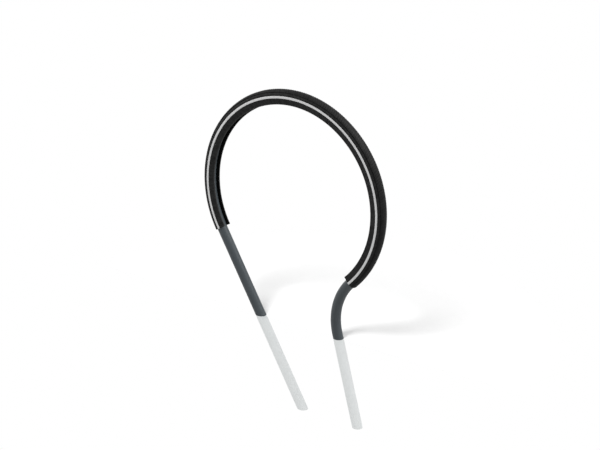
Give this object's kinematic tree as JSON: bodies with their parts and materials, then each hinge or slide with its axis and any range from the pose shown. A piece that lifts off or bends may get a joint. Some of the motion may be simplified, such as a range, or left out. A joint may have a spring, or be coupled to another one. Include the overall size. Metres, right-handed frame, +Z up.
{
  "type": "bike rack",
  "caption": "Bike rack of bent steel tube: a teardrop loop in a bicycle-tyre cover with reflective bands, on a straight leg and an S-bend leg that are cast into the ground.",
  "frame": {"origin": "on the ground straight below the centre of the loop, in the loop's middle plane", "axes": "+Z up, +X from the straight left leg towards the S-bend right leg, -Y to the front"},
  "size_m": [0.704, 0.0388, 1.0945],
  "materials": {
    "powder_coat": "anthracite powder coat, satin, fine orange peel",
    "zinc_primer": "matt pale zinc primer on the length that goes into the ground",
    "bare_steel": "bare turned steel, hidden inside the tubes",
    "sidewall_rubber": "matt black rubber with fine cord ribbing",
    "tread_rubber": "matt black rubber with fine cross ribs",
    "reflective_film": "pale grey reflective film",
    "bead_steel": "drawn bead wire, sealed in the lips",
    "bonding_rubber": "soft bonding rubber, hidden under the tyre's crown"
  },
  "bodies": {
    "root": {"loop_tube": "powder_coat", "left_leg_tube": "powder_coat", "right_leg_tube": "powder_coat", "left_ground_tube": "zinc_primer", "right_ground_tube": "zinc_primer", "left_loop_sleeve": "bare_steel", "right_loop_sleeve": "bare_steel", "left_ground_sleeve": "bare_steel", "right_ground_sleeve": "bare_steel", "tyre_casing": "sidewall_rubber", "tyre_tread": "tread_rubber", "front_reflective_band": "reflective_film", "back_reflective_band": "reflective_film", "front_bead_wire": "bead_steel", "back_bead_wire": "bead_steel", "bonding_strip": "bonding_rubber"}
  },
  "joints": []
}
